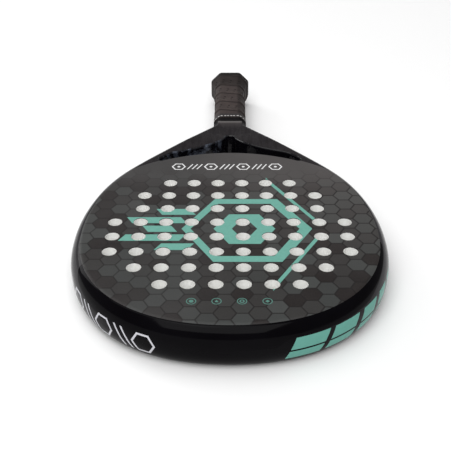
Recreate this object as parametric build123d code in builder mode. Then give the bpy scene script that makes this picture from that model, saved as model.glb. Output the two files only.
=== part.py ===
from build123d import *
import os
from math import sqrt

os.makedirs("parts", exist_ok=True)

# ---------------------------------------------------------------------------
# Padel racket, lying flat.  Millimetres.
# Origin: centre of the footprint on the surface it lies on.
# +Y runs from the head's tip towards the handle, +Z is normal to the faces.
# ---------------------------------------------------------------------------

# overall
LENGTH = 455.0            # tip to butt
THICK = 38.0              # across the two faces
MID = THICK / 2           # height of the mid-plane
TIP = -LENGTH / 2
BUTT = LENGTH / 2

# half outline of head and arms at the mid-plane: (half width, distance from the tip)
HALF_OUTLINE = [(0, 0), (26.5, 1.9), (52.7, 8.2), (77.2, 20.1), (98.4, 37.7), (114.6, 60.0),
                (124.9, 85.5), (129.5, 112.2), (130.0, 125.7), (128.4, 152.6), (123.1, 179.6),
                (113.9, 206.6), (99.5, 232.7), (79.9, 257.6), (61.5, 278.2), (42.2, 299.0),
                (27.9, 315.6), (17.2, 329.0)]
NECK_END = 337.0          # end of the moulded neck, from the tip
NECK_HALF = 16.8          # half width of the neck
RIM_INSET = 10.9          # how far the rounded edge reaches in over the face
NECK_INSET = 6.0          # the same at the neck, where the section turns octagonal
RIM_FLAT = 1.5            # half height of the straight band at the mid-plane
NECK_TOP = 15.8           # half height of the neck at its end
NECK_DROP_FROM = 296.0    # where the top starts to fall towards the neck

# frame tube, faces and core
TUBE_W = 13.0             # width of the frame tube in plan
SKIN_T = 1.2              # laminate thickness
SKIN_INSET = 11.0         # edge of the laminate, in from the outline
TUBE_BORE_OUT = 4.4       # the tube's foam, from and to this far in
TUBE_BORE_IN = 10.6
BORE_HALF_H = 11.5        # half height of the foam in head and arms
LEG_BORE_H = 7.0          # half height of the foam in the handle legs

# perforations
HOLE_D = 12.0
PITCH_X = 21.3
PITCH_Y = 21.44
FIRST_ROW = 55.5          # from the tip
ROWS = [6, 8, 10, 10, 10, 8, 8, 6]   # holes in each row, tip side first

# throat opening and the bridge that closes the head
THROAT_ARC_R = 140.0
THROAT_ARC_TOP = 263.3    # crest of the arc, from the tip
BRIDGE_ARC_R = 206.0
BRIDGE_ARC_TOP = 251.0
THROAT_SIDE = [(65.6, 252.4), (56.0, 262.6), (39.0, 271.8), (19.4, 284.0), (8.6, 295.5), (4.2, 305.5)]
THROAT_APEX = 309.0
THROAT_CORNER_X = 63.0

# handle
LEG_IN = 3.8
LEG_OUT = 10.5
LEG_H = 9.0
LEG_END = 449.0
TONGUE_END = 352.0        # the yoke's tongue between the legs
PALLET_W = 28.4           # hard handle, across the flats
PALLET_H = 27.0
PALLET_BEVEL = 4.4
GRIP_T = 1.7              # base grip
OVER_T = 0.9              # overgrip
GRIP_START = 345.0
GRIP_END = 447.0
FLARE_START = 413.0
FLARE = 9.2               # growth of the width over the flare
FLARE_H = 5.2             # growth of the height over the flare
CAP_T = 8.0               # thickness of the cap's end
TAPE_FROM, TAPE_TO, TAPE_T = 343.4, 353.0, 0.35
COLLAR_FROM, COLLAR_TO = 337.0, 345.0
CORD_R = 3.0              # bore of the eyelet that the wrist cord passes through
EYELET_OUT = 4.6
STAPLE_W = 0.9


def y(v):
    """Distance from the tip, as a Y coordinate."""
    return v + TIP


with BuildLine(mode=Mode.PRIVATE) as _edge:
    EDGE = Spline(*[(a, y(b)) for a, b in HALF_OUTLINE], tangents=[(1, 0), (-0.62, 0.785)])
SAMPLES = 26


def rim_scale(v):
    """Share of the full rounding at a distance v from the tip."""
    t = min(1.0, max(0.0, (v - 235.0) / (329.0 - 235.0)))
    t = t * t * (3 - 2 * t)
    return 1.0 + (NECK_INSET / RIM_INSET - 1.0) * t


def inset_points(dist, scaled=False):
    """Right half of the outline, moved in by dist."""
    pts = []
    for i in range(SAMPLES):
        t = i / (SAMPLES - 1)
        p, g = EDGE @ t, EDGE % t
        d = dist * (rim_scale(p.Y - TIP) if scaled else 1.0)
        if i == SAMPLES - 1:      # mitre with the straight side of the neck
            nx, ny = g.Y, -g.X
            pts.append((p.X - d, p.Y - d * (1 - nx) / ny))
        elif i == 0:
            pts.append((0, p.Y + d))
        else:
            pts.append((p.X - d * g.Y, p.Y + d * g.X))
    return pts, d


def outline(dist, scaled=False):
    """Closed outline of head, arms and neck, moved in by dist (inside a BuildLine)."""
    pts, d = inset_points(dist, scaled)
    end = pts[-1]
    Spline(*pts, tangents=[(1, 0), (-0.62, 0.785)])
    Spline(*[(-a, b) for a, b in pts], tangents=[(-1, 0), (0.62, 0.785)])
    Polyline(end, (NECK_HALF - d, y(NECK_END)), (-(NECK_HALF - d), y(NECK_END)), (-end[0], end[1]))


def disc(radius, crest):
    """Circle whose crest is at a distance from the tip (inside a BuildSketch)."""
    with Locations((0, y(crest) - radius)):
        Circle(radius, mode=Mode.INTERSECT)


def octagon(w, h, bevel, mode=Mode.ADD):
    """Octagonal section of the handle (inside a BuildSketch)."""
    a, b = w / 2, h / 2
    Polygon((a, b - bevel), (a - bevel, b), (-a + bevel, b), (-a, b - bevel),
            (-a, -b + bevel), (-a + bevel, -b), (a - bevel, -b), (a, -b + bevel),
            align=None, mode=mode)


def at(v):
    """Plane across the handle at a distance from the tip, local X = X and local Y = Z."""
    return Plane(origin=(0, y(v), MID), x_dir=(-1, 0, 0), z_dir=(0, 1, 0))


# ---------------------------------------------------------------------------
# envelope of the moulded frame: rounded rim, flat faces, falling neck
# ---------------------------------------------------------------------------
LEVELS = [0.0, 0.30, 0.55, 0.74, 0.88, 0.96, 0.992, 1.0]

with BuildPart() as envelope:
    with BuildSketch(Plane.XY.offset(MID)):
        with BuildLine():
            outline(0)
        make_face()
    extrude(amount=RIM_FLAT, both=True)
    with BuildSketch(Plane.XY.offset(MID + RIM_FLAT)):
        with BuildLine():
            outline(0)
        make_face()
    for q in LEVELS[1:]:
        with BuildSketch(Plane.XY.offset(MID + RIM_FLAT + q * (MID - RIM_FLAT))):
            with BuildLine():
                outline(RIM_INSET * (1 - sqrt(max(0.0, 1 - q * q))), scaled=True)
            make_face()
    loft()
    # the top falls towards the neck
    with BuildSketch(Plane.YZ):
        with BuildLine():
            Polyline((y(NECK_DROP_FROM), THICK), (y(NECK_END), MID + NECK_TOP), (y(NECK_END) + 5, MID + NECK_TOP),
                     (y(NECK_END) + 5, THICK + 5), (y(NECK_DROP_FROM), THICK + 5), close=True)
        make_face()
    extrude(amount=80, both=True, mode=Mode.SUBTRACT)
    split(bisect_by=Plane.XY.offset(MID), keep=Keep.TOP)
    mirror(about=Plane.XY.offset(MID))

# throat opening
def opening():
    """Rounded triangle between the bridge and the two arms (inside a BuildLine)."""
    side = [(p, y(q)) for p, q in THROAT_SIDE]
    back = [(-p, q) for p, q in side[::-1]]
    crest = y(THROAT_ARC_TOP) - THROAT_ARC_R
    low = (THROAT_CORNER_X, crest + sqrt(THROAT_ARC_R ** 2 - THROAT_CORNER_X ** 2))
    Spline(*side, tangents=[(-0.45, 0.9), (-0.25, 0.97)])
    Spline(*back, tangents=[(-0.25, -0.97), (-0.45, -0.9)])
    ThreePointArc(side[-1], (0, y(THROAT_APEX)), back[0])
    ThreePointArc((-low[0], low[1]), (0, y(THROAT_ARC_TOP)), low)
    ThreePointArc(low, (THROAT_CORNER_X + 3.4, low[1] + 1.2), side[0])
    ThreePointArc((-low[0], low[1]), (-THROAT_CORNER_X - 3.4, low[1] + 1.2), back[-1])


with BuildPart() as throat:
    with BuildSketch():
        with BuildLine():
            opening()
        make_face()
    extrude(amount=THICK)


def save(bp, name):
    bp.part.label = name
    export_step(bp.part, "parts/" + name + ".step")


# ---------------------------------------------------------------------------
# faces: two perforated laminates let into the frame
# ---------------------------------------------------------------------------
SKIN_ARC_TOP = THROAT_ARC_TOP - 4.2
HOLES = []
for k, n in enumerate(ROWS):
    for j in range(n):
        HOLES.append(((j - (n - 1) / 2) * PITCH_X, y(FIRST_ROW + k * PITCH_Y)))

with BuildPart() as face_skin_lower:
    with BuildSketch():
        with BuildLine():
            outline(SKIN_INSET)
        make_face()
        disc(THROAT_ARC_R - 4.2, SKIN_ARC_TOP)
        with Locations(*HOLES):
            Circle(HOLE_D / 2, mode=Mode.SUBTRACT)
    extrude(amount=SKIN_T)

with BuildPart() as face_skin_upper:
    add(face_skin_lower.part)
    mirror(about=Plane.XY.offset(MID))
    split(bisect_by=Plane.XY.offset(MID), keep=Keep.TOP)

# the recess that both laminates lie in
with BuildPart() as recess:
    with BuildSketch():
        with BuildLine():
            outline(SKIN_INSET)
        make_face()
        disc(THROAT_ARC_R - 4.2, SKIN_ARC_TOP)
    extrude(amount=SKIN_T)
    mirror(about=Plane.XY.offset(MID))

# ---------------------------------------------------------------------------
# core: soft foam slab with the perforations drilled through it
# ---------------------------------------------------------------------------
with BuildPart() as head_core:
    with BuildSketch(Plane.XY.offset(SKIN_T)):
        with BuildLine():
            outline(TUBE_W)
        make_face()
        disc(BRIDGE_ARC_R, BRIDGE_ARC_TOP)
        with Locations(*HOLES):
            Circle(HOLE_D / 2, mode=Mode.SUBTRACT)
    extrude(amount=THICK - 2 * SKIN_T)

# ---------------------------------------------------------------------------
# frame tube: one hollow tube round the head, down both arms and into the handle
# ---------------------------------------------------------------------------
with BuildPart() as tube_bore:
    # straight runs of the bore inside the legs
    for side in (-1, 1):
        with BuildSketch(Plane.XY.offset(MID)):
            with BuildLine():
                Polyline((side * 5.6, y(331)), (side * 8.8, y(331)), (side * 8.8, y(LEG_END)),
                         (side * 5.6, y(LEG_END)), close=True)
            make_face()
        extrude(amount=LEG_BORE_H, both=True)
    for height in (BORE_HALF_H, ):
        with BuildSketch(Plane.XY.offset(MID)):
            with BuildLine():
                outline(TUBE_BORE_OUT)
            make_face()
            with BuildLine():
                outline(TUBE_BORE_IN)
            make_face(mode=Mode.SUBTRACT)
            with Locations((0, y(336) + 20)):
                Rectangle(60, 40 + 10, mode=Mode.SUBTRACT)
        extrude(amount=height, both=True)
    with BuildSketch(Plane.XY.offset(MID)):
        for side in (-1, 1):
            with BuildLine():
                Polyline((side * 5.6, y(331.5)), (side * 8.8, y(331.5)), (side * 14.0, y(327.0)), (side * 21.0, y(318.5)),
                         (side * 17.0, y(315.5)), (side * 9.5, y(325.0)), close=True)
            make_face()
    extrude(amount=LEG_BORE_H, both=True)

with BuildPart() as frame_tube:
    add(envelope.part)
    with BuildSketch():
        with BuildLine():
            outline(TUBE_W)
        make_face()
    extrude(amount=THICK, mode=Mode.SUBTRACT)
    with BuildSketch(at(NECK_END)):
        with Locations(((LEG_IN + LEG_OUT) / 2, 0), (-(LEG_IN + LEG_OUT) / 2, 0)):
            Rectangle(LEG_OUT - LEG_IN, 2 * LEG_H)
    extrude(amount=LEG_END - NECK_END)
    add(recess.part, mode=Mode.SUBTRACT)
    add(throat.part, mode=Mode.SUBTRACT)
    add(tube_bore.part, mode=Mode.SUBTRACT)

with BuildPart() as frame_foam:
    add(tube_bore.part)

# ---------------------------------------------------------------------------
# throat yoke: the inner tube that closes the head and lines the opening
# ---------------------------------------------------------------------------
with BuildPart() as bridge_bore:
    with BuildSketch(Plane.XY.offset(MID)):
        with BuildLine():
            outline(TUBE_W)
        make_face()
        disc(THROAT_ARC_R - 2.6, THROAT_ARC_TOP - 2.6)
        with Locations((0, y(BRIDGE_ARC_TOP + 2.4) - BRIDGE_ARC_R)):
            Circle(BRIDGE_ARC_R, mode=Mode.SUBTRACT)
        with Locations((0, y(250))):
            Rectangle(124, 60, mode=Mode.INTERSECT)
    extrude(amount=13.0, both=True)

with BuildPart() as throat_yoke:
    with BuildSketch():
        with BuildLine():
            outline(TUBE_W)
        make_face()
        with Locations((0, y(BRIDGE_ARC_TOP) - BRIDGE_ARC_R)):
            Circle(BRIDGE_ARC_R, mode=Mode.SUBTRACT)
    extrude(amount=THICK)
    add(envelope.part, mode=Mode.INTERSECT)
    with BuildSketch(at(NECK_END)):
        Rectangle(2 * LEG_IN, 2 * LEG_H)
    extrude(amount=TONGUE_END - NECK_END)
    add(throat.part, mode=Mode.SUBTRACT)
    add(recess.part, mode=Mode.SUBTRACT)
    add(bridge_bore.part, mode=Mode.SUBTRACT)

with BuildPart() as yoke_foam:
    add(bridge_bore.part)

# ---------------------------------------------------------------------------
# handle: foam core between the legs and two moulded pallet halves round them
# ---------------------------------------------------------------------------
with BuildPart() as handle_core:
    with BuildSketch(at(TONGUE_END)):
        Rectangle(2 * LEG_IN, 2 * LEG_H)
    extrude(amount=LEG_END - TONGUE_END)

with BuildPart() as handle_shell_upper:
    with BuildSketch(at(NECK_END)):
        octagon(PALLET_W, PALLET_H, PALLET_BEVEL)
        Rectangle(2 * LEG_OUT, 2 * LEG_H, mode=Mode.SUBTRACT)
    extrude(amount=LEG_END - 2.0 - NECK_END)
    split(bisect_by=Plane.XY.offset(MID), keep=Keep.TOP)

with BuildPart() as handle_shell_lower:
    add(handle_shell_upper.part)
    mirror(about=Plane.XY.offset(MID))
    split(bisect_by=Plane.XY.offset(MID), keep=Keep.BOTTOM)

# ---------------------------------------------------------------------------
# butt cap: end plate with a skirt that flares the handle
# ---------------------------------------------------------------------------
def flare(v):
    """Growth of width and height at a distance from the tip."""
    t = (v - FLARE_START) / (GRIP_END - FLARE_START)
    t = max(0.0, min(1.0, t))
    s = t * (2 - t) * 0.55 + t * 0.45
    return FLARE * s, FLARE_H * s


FLARE_AT = [FLARE_START, 422.0, 431.0, 439.5, GRIP_END]


def octagonal_loft(extra, stops):
    """Flared octagonal form through the given stops (inside a BuildPart)."""
    sections = []
    for v in stops:
        dw, dh = flare(v)
        w = PALLET_W + 2 * extra + dw
        h = PALLET_H + 2 * extra + dh
        with BuildSketch(at(v)) as section:
            octagon(w, h, PALLET_BEVEL + 0.586 * extra + 0.30 * dw)
        sections.append(section.sketch.faces()[0])
    loft(sections=sections, ruled=True)


with BuildPart() as butt_cap:
    octagonal_loft(0.8, FLARE_AT)
    cap_w = PALLET_W + 2 * (GRIP_T + OVER_T) + FLARE
    cap_h = PALLET_H + 2 * (GRIP_T + OVER_T) + FLARE_H
    cap_b = PALLET_BEVEL + 0.586 * (GRIP_T + OVER_T) + 0.30 * FLARE
    with BuildSketch(at(GRIP_END)):
        octagon(cap_w, cap_h, cap_b)
    extrude(amount=CAP_T)
    rim = faces().sort_by(Axis.Y)[-1].edges()
    fillet(rim, 1.6)
    with BuildSketch(at(FLARE_START)):
        octagon(PALLET_W, PALLET_H, PALLET_BEVEL)
    extrude(amount=LEG_END - FLARE_START, mode=Mode.SUBTRACT)
    with BuildSketch(at(LEG_END)):
        Circle(EYELET_OUT)
    extrude(amount=10, mode=Mode.SUBTRACT)
    for sx in (-1, 1):
        with BuildSketch(at(BUTT - TIP - 1.2)):
            with Locations((sx * 12.5, 0)):
                Rectangle(STAPLE_W, 10)
        extrude(amount=5, mode=Mode.SUBTRACT)
        with BuildSketch(at(LEG_END - 2.0)):
            with Locations((sx * 12.5, 4.55), (sx * 12.5, -4.55)):
                Rectangle(STAPLE_W, STAPLE_W)
        extrude(amount=10, mode=Mode.SUBTRACT)

with BuildPart() as cord_eyelet:
    with BuildSketch(at(LEG_END)):
        Circle(EYELET_OUT)
        Circle(CORD_R, mode=Mode.SUBTRACT)
    extrude(amount=LENGTH - LEG_END)
    fillet(edges().filter_by(GeomType.CIRCLE).group_by(Axis.Y)[-1], 0.5)

with BuildPart() as cap_staples:
    for sx in (-1, 1):
        with BuildSketch(at(LENGTH - 1.2)):
            with Locations((sx * 12.5, 0)):
                Rectangle(STAPLE_W, 10)
        extrude(amount=0.9)
        with BuildSketch(at(LEG_END - 2.0)):
            with Locations((sx * 12.5, 4.55), (sx * 12.5, -4.55)):
                Rectangle(STAPLE_W, STAPLE_W)
        extrude(amount=LENGTH - 1.2 - LEG_END + 2.0)

# ---------------------------------------------------------------------------
# soft grip parts: collar, base grip, overgrip, finishing tape
# ---------------------------------------------------------------------------
with BuildPart() as base_grip:
    octagonal_loft(GRIP_T, [GRIP_START] + FLARE_AT)
    with BuildSketch(at(GRIP_START)):
        octagon(PALLET_W, PALLET_H, PALLET_BEVEL)
    extrude(amount=GRIP_END - GRIP_START, mode=Mode.SUBTRACT)
    add(butt_cap.part, mode=Mode.SUBTRACT)

with BuildPart() as grip_form:
    octagonal_loft(GRIP_T, [GRIP_START] + FLARE_AT)

with BuildPart() as overgrip:
    octagonal_loft(GRIP_T + OVER_T, [GRIP_START] + FLARE_AT)
    add(grip_form.part, mode=Mode.SUBTRACT)

with BuildPart() as grip_collar:
    with BuildSketch(at(COLLAR_FROM)):
        octagon(PALLET_W + 4.2, PALLET_H + 4.2, PALLET_BEVEL + 0.586 * 2.1)
        octagon(PALLET_W, PALLET_H, PALLET_BEVEL, mode=Mode.SUBTRACT)
    extrude(amount=COLLAR_TO - COLLAR_FROM)

with BuildPart() as finishing_tape:
    e = GRIP_T + OVER_T
    with BuildSketch(at(GRIP_START)):
        octagon(PALLET_W + 2 * (e + TAPE_T), PALLET_H + 2 * (e + TAPE_T), PALLET_BEVEL + 0.586 * (e + TAPE_T))
        octagon(PALLET_W + 2 * e, PALLET_H + 2 * e, PALLET_BEVEL + 0.586 * e, mode=Mode.SUBTRACT)
    extrude(amount=TAPE_TO - GRIP_START)

save(frame_tube, "frame_tube")
save(frame_foam, "frame_foam")
save(throat_yoke, "throat_yoke")
save(yoke_foam, "yoke_foam")
save(head_core, "head_core")
save(face_skin_upper, "face_skin_upper")
save(face_skin_lower, "face_skin_lower")
save(handle_core, "handle_core")
save(handle_shell_upper, "handle_shell_upper")
save(handle_shell_lower, "handle_shell_lower")
save(base_grip, "base_grip")
save(overgrip, "overgrip")
save(finishing_tape, "finishing_tape")
save(grip_collar, "grip_collar")
save(butt_cap, "butt_cap")
save(cord_eyelet, "cord_eyelet")
save(cap_staples, "cap_staples")
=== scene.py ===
import math
import random

import bmesh
import bpy
import numpy as np
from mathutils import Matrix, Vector
from mathutils.geometry import delaunay_2d_cdt


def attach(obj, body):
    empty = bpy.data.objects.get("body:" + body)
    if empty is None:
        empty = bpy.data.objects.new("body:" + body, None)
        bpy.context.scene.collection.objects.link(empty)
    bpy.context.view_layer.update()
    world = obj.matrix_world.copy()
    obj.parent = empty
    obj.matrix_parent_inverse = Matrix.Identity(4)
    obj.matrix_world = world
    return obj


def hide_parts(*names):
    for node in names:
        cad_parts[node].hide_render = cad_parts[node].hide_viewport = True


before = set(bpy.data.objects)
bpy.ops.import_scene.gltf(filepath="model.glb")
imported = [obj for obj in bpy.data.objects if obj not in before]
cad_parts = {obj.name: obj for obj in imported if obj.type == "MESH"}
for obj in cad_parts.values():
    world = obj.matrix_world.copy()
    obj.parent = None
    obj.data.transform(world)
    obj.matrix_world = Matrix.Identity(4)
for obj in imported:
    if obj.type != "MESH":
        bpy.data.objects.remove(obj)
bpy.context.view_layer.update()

# ---------------------------------------------------------------------------
# Shared numbers, millimetres in the CAD frame: tip of the head at Y = -227.5,
# butt at +227.5, mid-plane at Z = 19.
# ---------------------------------------------------------------------------
TIP = -227.5
MID = 19.0
HALF_OUTLINE = [(0, 0), (26.5, 1.9), (52.7, 8.2), (77.2, 20.1), (98.4, 37.7), (114.6, 60.0),
                (124.9, 85.5), (129.5, 112.2), (130.0, 125.7), (128.4, 152.6), (123.1, 179.6),
                (113.9, 206.6), (99.5, 232.7), (79.9, 257.6), (61.5, 278.2), (42.2, 299.0),
                (27.9, 315.6), (17.2, 329.0)]
NECK_END = 336.9
NECK_HALF = 16.8
RIM = 10.9
NECK_RIM = 6.0
FLAT = 1.5
FACE_EDGE = 8.3           # the printed face starts this far in
SKIN = 0.5                # visible thickness of the laminate at the holes
HOLE_R = 6.0
PITCH_X, PITCH_Y, FIRST_ROW = 21.3, 21.44, 55.5
ROWS = [6, 8, 10, 10, 10, 8, 8, 6]
HOLES = [((j - (n - 1) / 2) * PITCH_X, FIRST_ROW + k * PITCH_Y + TIP)
         for k, n in enumerate(ROWS) for j in range(n)]
ARC_R, ARC_TOP = 140.0, 263.3 + TIP
ARC_C = ARC_TOP - ARC_R
THROAT_SIDE = [(65.6, 252.4, 19.0), (56.0, 262.6, 18.3), (39.0, 271.8, 17.2), (19.4, 284.0, 16.2),
               (8.6, 295.5, 14.6), (4.2, 305.5, 13.4)]
APEX_Y = 309.0
CORNER_X = 63.0
M = 0.001


# ---------------------------------------------------------------------------
# small geometry tools
# ---------------------------------------------------------------------------
def spline(points, d0, d1, n):
    """C2 cubic through points (k x dims) with end directions, n samples evenly spaced by length."""
    P = np.array(points, float)
    k = len(P)
    t = np.r_[0, np.cumsum(np.linalg.norm(np.diff(P[:, :2], axis=0), axis=1))]
    h = np.diff(t)
    A = np.zeros((k, k))
    B = np.zeros((k, P.shape[1]))
    A[0, 0] = A[-1, -1] = 1
    B[0] = d0
    B[-1] = d1
    for i in range(1, k - 1):
        A[i, i - 1] = h[i]
        A[i, i] = 2 * (h[i - 1] + h[i])
        A[i, i + 1] = h[i - 1]
        B[i] = 3 * (h[i] * (P[i] - P[i - 1]) / h[i - 1] + h[i - 1] * (P[i + 1] - P[i]) / h[i])
    D = np.linalg.solve(A, B)
    out = []
    for i in range(k - 1):
        u = np.linspace(0, 1, 60, endpoint=False)[:, None]
        out.append((2 * u ** 3 - 3 * u ** 2 + 1) * P[i] + (u ** 3 - 2 * u ** 2 + u) * h[i] * D[i]
                   + (-2 * u ** 3 + 3 * u ** 2) * P[i + 1] + (u ** 3 - u ** 2) * h[i] * D[i + 1])
    Q = np.vstack(out + [P[-1:]])
    return resample(Q, n)


def resample(Q, n):
    s = np.r_[0, np.cumsum(np.linalg.norm(np.diff(Q[:, :2], axis=0), axis=1))]
    w = np.linspace(0, s[-1], n)
    return np.stack([np.interp(w, s, Q[:, i]) for i in range(Q.shape[1])], 1)


def smoothstep(a, b, v):
    t = np.clip((v - a) / (b - a), 0, 1)
    return t * t * (3 - 2 * t)


def nearest(P, Q):
    """Distance from each point of P to the open polyline Q, with segment and place on it."""
    A, B = Q[:-1, :2], Q[1:, :2]
    AB = B - A
    L2 = np.maximum((AB ** 2).sum(1), 1e-12)
    D, K, T = np.empty(len(P)), np.empty(len(P), int), np.empty(len(P))
    for i in range(0, len(P), 4000):
        p = P[i:i + 4000]
        PA = p[:, None, :] - A[None]
        t = np.clip((PA * AB).sum(2) / L2, 0, 1)
        d = np.sqrt(((PA - t[..., None] * AB) ** 2).sum(2))
        k = d.argmin(1)
        r = np.arange(len(p))
        D[i:i + 4000], K[i:i + 4000], T[i:i + 4000] = d[r, k], k, t[r, k]
    return D, K, T


def inside(P, poly):
    """Even-odd test of points against a closed polygon."""
    x, y = P[:, 0], P[:, 1]
    res = np.zeros(len(P), bool)
    n = len(poly)
    for i in range(n):
        x1, y1 = poly[i]
        x2, y2 = poly[(i + 1) % n]
        if y1 == y2:
            continue
        c = ((y1 > y) != (y2 > y)) & (x < (x2 - x1) * (y - y1) / (y2 - y1) + x1)
        res ^= c
    return res


def normals2(Q):
    """Right-hand normals of an open polyline (x, y)."""
    T = np.gradient(Q[:, :2], axis=0)
    T /= np.linalg.norm(T, axis=1)[:, None]
    return np.stack([T[:, 1], -T[:, 0]], 1)


# ---------------------------------------------------------------------------
# outline of head, arms and neck: from the tip up the right side, then mirrored
# ---------------------------------------------------------------------------
_side = spline([(a, b + TIP) for a, b in HALF_OUTLINE], (1, 0), (-0.62, 0.785), 236)
_corner = np.array([17.2, 329.0 + TIP])
_ta = np.array([-0.62, 0.785]); _ta /= np.linalg.norm(_ta)
_k = 2.2
_a0, _a1 = _corner - _ta * _k, _corner + np.array([-0.03, 1.0]) * _k
_bez = np.array([(1 - u) ** 2 * _a0 + 2 * u * (1 - u) * _corner + u * u * _a1 for u in np.linspace(0, 1, 9)])
_keep = _side[(_side[:, 1] < _a0[1] - 0.6)]
_neck = np.array([[NECK_HALF + 0.1, 331.8 + TIP], [NECK_HALF, 334.0 + TIP], [NECK_HALF, 335.6 + TIP], [NECK_HALF, NECK_END + TIP]])
RIGHT = np.vstack([_keep, _bez, _neck])
RIGHT[:, 0] = np.minimum(RIGHT[:, 0], 129.99)
N_RIGHT = normals2(RIGHT)
N_RIGHT[0] = (0, -1)
N_RIGHT[-5:] = (1, 0)
OUT = np.vstack([RIGHT[::-1] * (-1, 1), RIGHT[1:]])
N_OUT = np.vstack([N_RIGHT[::-1] * (-1, 1), N_RIGHT[1:]])
S_OUT = np.r_[0, np.cumsum(np.linalg.norm(np.diff(OUT, axis=0), axis=1))]
S_OUT -= S_OUT[-1] / 2          # 0 at the tip, + on the right


def rim_at(y):
    """Width of the rounded edge at a place along the racket."""
    return RIM + (NECK_RIM - RIM) * smoothstep(235.0, 329.0, y - TIP)


def drop(y):
    """Height scale: 1 on the head and arms, falling towards the neck."""
    v = y - TIP
    t = np.clip((v - 290.0) / (337.0 - 290.0), 0, 1)
    return 1 - (3.2 / 19.0) * (t * t * (3 - 2 * t) * 0.5 + t * 0.5)


A_OUT = rim_at(OUT[:, 1])

# inner line of the right arm: throat edge, then the funnel's side up to the neck; third column is height
_in = spline([(a, b + TIP, z) for a, b, z in THROAT_SIDE], (-0.7, 0.7, 0), (-0.2, 0.97, -0.1), 90)
_fun = np.array([[3.9, 309.5 + TIP, 13.1], [5.5, 314.9 + TIP, 13.75], [8.4, 325.0 + TIP, 14.8], [10.9, 334.0 + TIP, 15.85],
                 [11.0, NECK_END + TIP, 15.9]])
INNER = np.vstack([_in, _fun])
INNER_L = INNER * (-1, 1, 1)


def height(P):
    """Height of the upper surface above the mid-plane."""
    x, y = P[:, 0], P[:, 1]
    d, k, t = nearest(P, OUT)
    k2 = np.minimum(k + 1, len(OUT) - 1)
    a = A_OUT[k] * (1 - t) + A_OUT[k2] * t
    sc = drop(y)
    q = np.clip((a - d) / a, 0, 1)
    ell = (FLAT + (19.0 - FLAT) * np.sqrt(np.maximum(0, 1 - q * q))) * sc
    z = ell.copy()
    arm = (np.hypot(x, y - ARC_C) > ARC_R - 0.02) & (y > 240 + TIP)
    if arm.any():
        Q = P[arm].copy()
        Q[:, 0] = np.abs(Q[:, 0])
        di, ki, ti = nearest(Q, INNER)
        zi = INNER[ki, 2] * (1 - ti) + INNER[np.minimum(ki + 1, len(INNER) - 1), 2] * ti
        w = 4.0 + 7.0 * (Q[:, 1] - TIP - 309.0) / 25.0
        tri = (Q[:, 1] > 305.0 + TIP) & (Q[:, 0] < np.clip(w, 0, 11.0))
        gap = np.maximum(d[arm] - a[arm], 0)
        tt = np.clip(di / np.maximum(di + gap, 1e-6), 0, 1)
        top = 19.0 * sc[arm]
        tt = tt ** 0.92
        zf = zi + (top - zi) * tt
        zf = np.where(tri, 13.0 + 0.112 * (Q[:, 1] - TIP - 309.0), zf)
        z[arm] = np.minimum(ell[arm], zf)
    return z


def slope_normals(P, e=0.08):
    """Normals of the upper surface, from small steps either side."""
    hx = (height(P + (e, 0)) - height(P - (e, 0))) / (2 * e)
    hy = (height(P + (0, e)) - height(P - (0, e))) / (2 * e)
    N = np.stack([-hx, -hy, np.ones(len(P))], 1)
    return N / np.linalg.norm(N, axis=1)[:, None]


# throat boundary, closed, counter-clockwise: bridge arc left to right, right side up, left side down
def throat_ring(off):
    """Throat outline moved away from the opening by off, with a tag of each point's side."""
    xs = np.linspace(-CORNER_X, CORNER_X, 90)
    arc = np.stack([xs, ARC_C + np.sqrt(ARC_R ** 2 - xs ** 2)], 1)
    c0 = arc[-1]
    tip_r = np.array([CORNER_X + 3.4, c0[1] + 1.2])
    side = _in[:, :2]
    m = np.array([(1 - u) ** 2 * c0 + 2 * u * (1 - u) * (c0 + (3.9, -1.3)) + u * u * tip_r for u in np.linspace(0, 1, 7)])[1:]
    m2 = np.array([(1 - u) ** 2 * tip_r + 2 * u * (1 - u) * (tip_r + (0.6, 1.3)) + u * u * side[0] for u in np.linspace(0, 1, 6)])[1:-1]
    top = np.array([[4.2 * math.cos(t), 305.5 + TIP + 3.5 * math.sin(t)] for t in np.linspace(0, math.pi, 15)])[1:-1]
    right = np.vstack([m, m2, side])
    ring = np.vstack([arc, right, top, (right * (-1, 1))[::-1][:-1]])
    ring = ring[np.r_[True, np.linalg.norm(np.diff(ring, axis=0), axis=1) > 1e-4]]
    T = np.roll(ring, -1, 0) - np.roll(ring, 1, 0)
    T /= np.linalg.norm(T, axis=1)[:, None]
    N = np.stack([T[:, 1], -T[:, 0]], 1)      # away from the opening
    return ring + N * off, N


THROAT, THROAT_N = throat_ring(0.0)
EDGE_R = 1.6


# ---------------------------------------------------------------------------
# Blender helpers
# ---------------------------------------------------------------------------
def new_object(name, verts, faces, mats=(), face_mat=None, smooth=True, scale=M):
    me = bpy.data.meshes.new(name)
    me.from_pydata([tuple(float(c) * scale for c in v) for v in verts], [], [tuple(int(i) for i in f) for f in faces])
    for m in mats:
        me.materials.append(m)
    if face_mat is not None:
        me.polygons.foreach_set("material_index", np.array(face_mat, dtype=np.int32))
    me.polygons.foreach_set("use_smooth", [smooth] * len(me.polygons))
    me.validate()
    me.update()
    ob = bpy.data.objects.new(name, me)
    bpy.context.collection.objects.link(ob)
    return ob


def merged(ob, dist=2e-6):
    bm = bmesh.new()
    bm.from_mesh(ob.data)
    bmesh.ops.remove_doubles(bm, verts=bm.verts, dist=dist)
    bmesh.ops.recalc_face_normals(bm, faces=bm.faces)
    bm.to_mesh(ob.data)
    bm.free()
    ob.data.update()


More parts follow.
